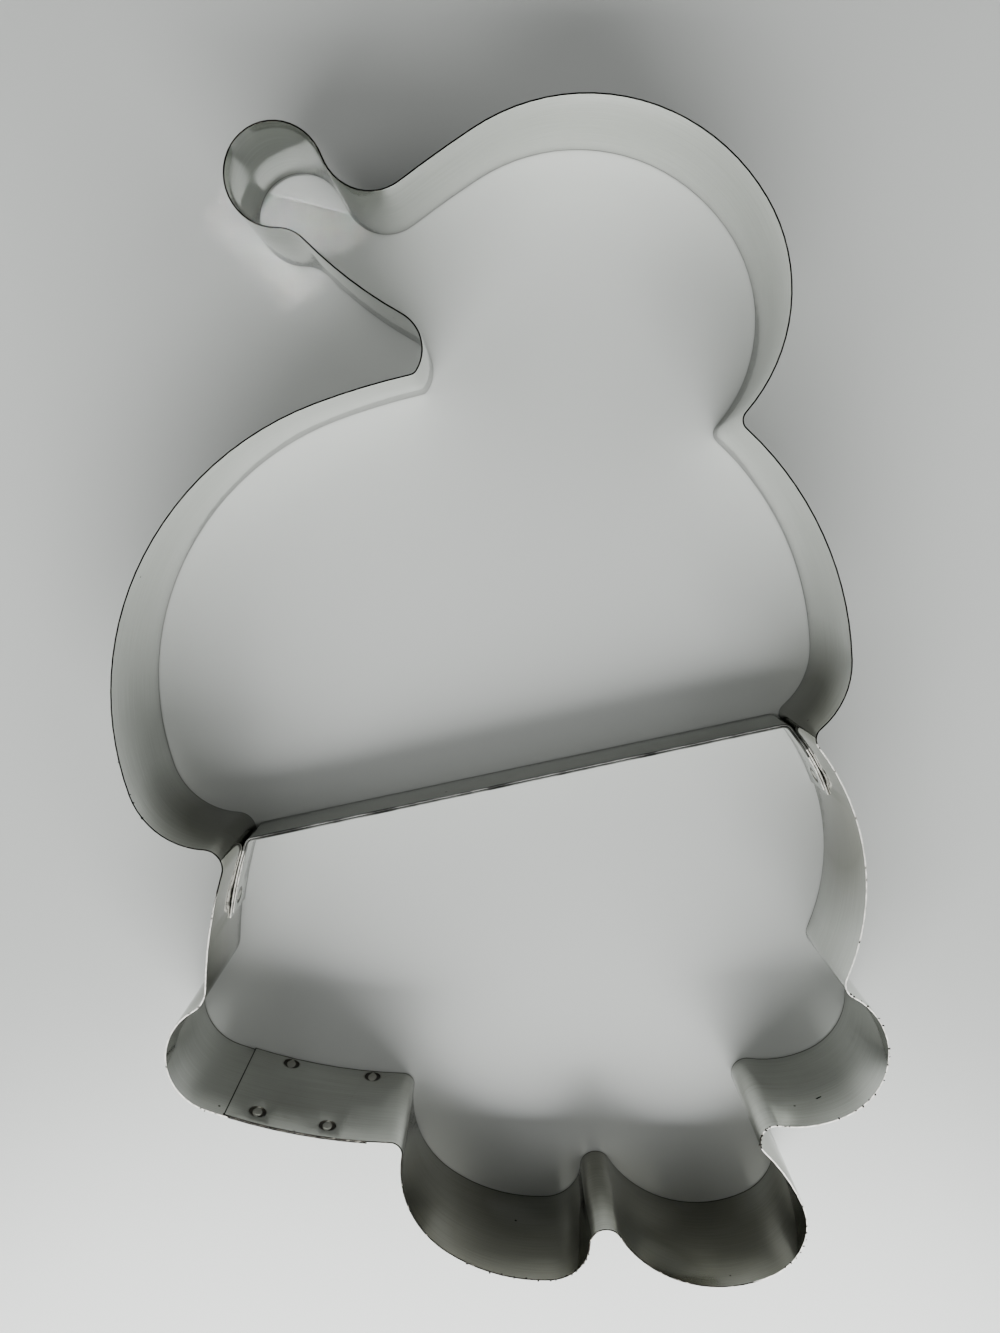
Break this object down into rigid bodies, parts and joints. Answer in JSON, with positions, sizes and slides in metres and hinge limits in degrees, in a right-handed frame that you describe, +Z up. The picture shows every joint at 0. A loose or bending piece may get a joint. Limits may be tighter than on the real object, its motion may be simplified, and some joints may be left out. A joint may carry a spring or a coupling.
{
  "type": "cookie cutter",
  "caption": "Open bent-strip cookie cutter in the outline of a figure in a drooping bobble hat, with a low divider welded across the waist.",
  "frame": {"origin": "middle of the outline's bounding box in plan, on the plane of the cutting edge", "axes": "+Z up from the cutting edge to the hand edge, +Y towards the hat, +X to the right seen from above"},
  "size_m": [0.1454, 0.2208, 0.025],
  "materials": {
    "band_tinplate": "satin rolled tinplate",
    "divider_tinplate": "satin rolled tinplate",
    "weld_steel": "heat-dulled spot weld"
  },
  "bodies": {
    "root": {"outer_band": "band_tinplate", "divider_strip": "divider_tinplate", "divider_stiffener": "divider_tinplate", "band_weld_nuggets": "weld_steel", "tab_weld_nuggets": "weld_steel"}
  },
  "joints": []
}
